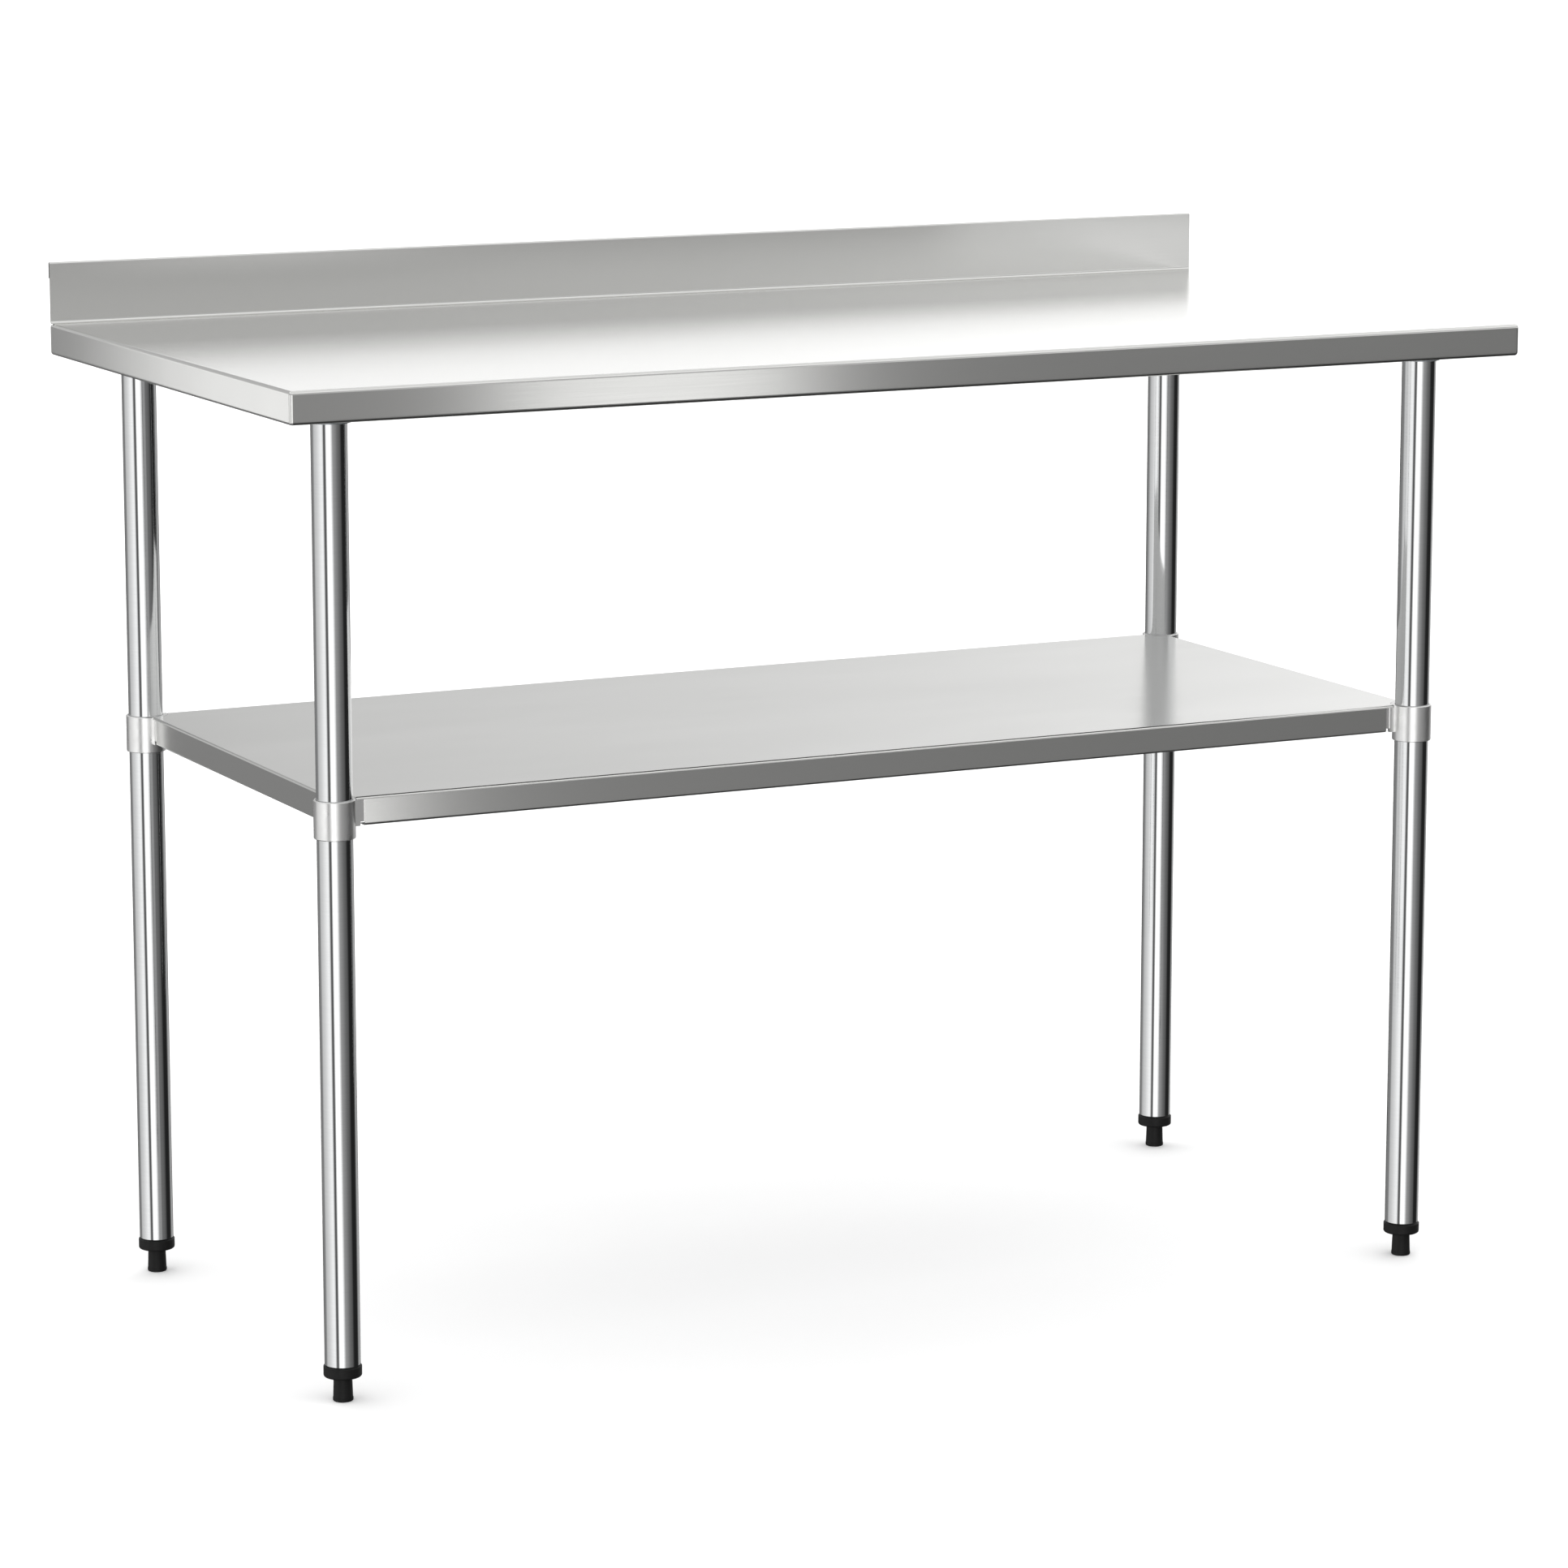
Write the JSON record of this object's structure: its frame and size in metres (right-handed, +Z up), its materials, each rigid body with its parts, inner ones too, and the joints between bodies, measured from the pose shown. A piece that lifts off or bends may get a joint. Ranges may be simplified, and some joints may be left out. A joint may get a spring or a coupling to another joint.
{
  "type": "stainless work table",
  "caption": "Stainless kitchen work table with a folded sheet worktop, rear upstand, round tube legs, sliding undershelf and levelling feet.",
  "frame": {"origin": "on the floor under the middle of the table", "axes": "+X along the table to its right end as seen from the front, +Y from the front edge to the upstand, +Z up"},
  "size_m": [1.219, 0.61, 0.957],
  "materials": {
    "worktop_steel": "fine brushed, satin",
    "shelf_steel": "fine brushed, satin",
    "polished_tube": "polished tube",
    "cast_collar": "cast, lightly blasted",
    "galvanised_steel": "zinc coated, faint spangle",
    "fastener_steel": "zinc plated",
    "foot_plastic": "moulded, matt"
  },
  "bodies": {
    "frame": {"worktop_sheet": "worktop_steel", "cross_channel_left": "galvanised_steel", "cross_channel_right": "galvanised_steel", "long_channel": "galvanised_steel", "channel_studs": "fastener_steel", "channel_nuts": "fastener_steel", "leg_socket_front_left": "galvanised_steel", "socket_screw_front_left": "fastener_steel", "leg_tube_front_left": "polished_tube", "foot_insert_front_left": "foot_plastic", "foot_nut_front_left": "fastener_steel", "leg_socket_front_right": "galvanised_steel", "socket_screw_front_right": "fastener_steel", "leg_tube_front_right": "polished_tube", "foot_insert_front_right": "foot_plastic", "foot_nut_front_right": "fastener_steel", "leg_socket_back_left": "galvanised_steel", "socket_screw_back_left": "fastener_steel", "leg_tube_back_left": "polished_tube", "foot_insert_back_left": "foot_plastic", "foot_nut_back_left": "fastener_steel", "leg_socket_back_right": "galvanised_steel", "socket_screw_back_right": "fastener_steel", "leg_tube_back_right": "polished_tube", "foot_insert_back_right": "foot_plastic", "foot_nut_back_right": "fastener_steel"},
    "shelf": {"shelf_sheet": "shelf_steel", "shelf_channel": "galvanised_steel", "shelf_collar_front_left": "cast_collar", "collar_screw_front_left": "fastener_steel", "shelf_collar_front_right": "cast_collar", "collar_screw_front_right": "fastener_steel", "shelf_collar_back_left": "cast_collar", "collar_screw_back_left": "fastener_steel", "shelf_collar_back_right": "cast_collar", "collar_screw_back_right": "fastener_steel"},
    "stud_front_left": {"foot_stud_front_left": "fastener_steel"},
    "foot_front_left": {"levelling_foot_front_left": "foot_plastic"},
    "stud_front_right": {"foot_stud_front_right": "fastener_steel"},
    "foot_front_right": {"levelling_foot_front_right": "foot_plastic"},
    "stud_back_left": {"foot_stud_back_left": "fastener_steel"},
    "foot_back_left": {"levelling_foot_back_left": "foot_plastic"},
    "stud_back_right": {"foot_stud_back_right": "fastener_steel"},
    "foot_back_right": {"levelling_foot_back_right": "foot_plastic"}
  },
  "joints": [
    {"name": "shelf_slide", "type": "slide", "parent": "frame", "child": "shelf", "axis": [0, 0, 1], "range_m": [-0.45, 0.3]},
    {"name": "foot_lift_front_left", "type": "slide", "parent": "frame", "child": "stud_front_left", "axis": [0, 0, -1], "range_m": [0, 0.025]},
    {"name": "foot_turn_front_left", "type": "hinge", "parent": "stud_front_left", "child": "foot_front_left", "pos_m": [-0.5465, -0.233, 0], "axis": [0, 0, -1], "range_deg": [0, 6000.5]},
    {"name": "foot_lift_front_right", "type": "slide", "parent": "frame", "child": "stud_front_right", "axis": [0, 0, -1], "range_m": [0, 0.025]},
    {"name": "foot_turn_front_right", "type": "hinge", "parent": "stud_front_right", "child": "foot_front_right", "pos_m": [0.5465, -0.233, 0], "axis": [0, 0, -1], "range_deg": [0, 6000.5]},
    {"name": "foot_lift_back_left", "type": "slide", "parent": "frame", "child": "stud_back_left", "axis": [0, 0, -1], "range_m": [0, 0.025]},
    {"name": "foot_turn_back_left", "type": "hinge", "parent": "stud_back_left", "child": "foot_back_left", "pos_m": [-0.5465, 0.241, 0], "axis": [0, 0, -1], "range_deg": [0, 6000.5]},
    {"name": "foot_lift_back_right", "type": "slide", "parent": "frame", "child": "stud_back_right", "axis": [0, 0, -1], "range_m": [0, 0.025]},
    {"name": "foot_turn_back_right", "type": "hinge", "parent": "stud_back_right", "child": "foot_back_right", "pos_m": [0.5465, 0.241, 0], "axis": [0, 0, -1], "range_deg": [0, 6000.5]}
  ],
  "couplings": [
    {"joint": "foot_turn_front_left", "follows": "foot_lift_front_left", "rad_per_m": 4188.8},
    {"joint": "foot_turn_front_right", "follows": "foot_lift_front_right", "rad_per_m": 4188.8},
    {"joint": "foot_turn_back_left", "follows": "foot_lift_back_left", "rad_per_m": 4188.8},
    {"joint": "foot_turn_back_right", "follows": "foot_lift_back_right", "rad_per_m": 4188.8}
  ]
}
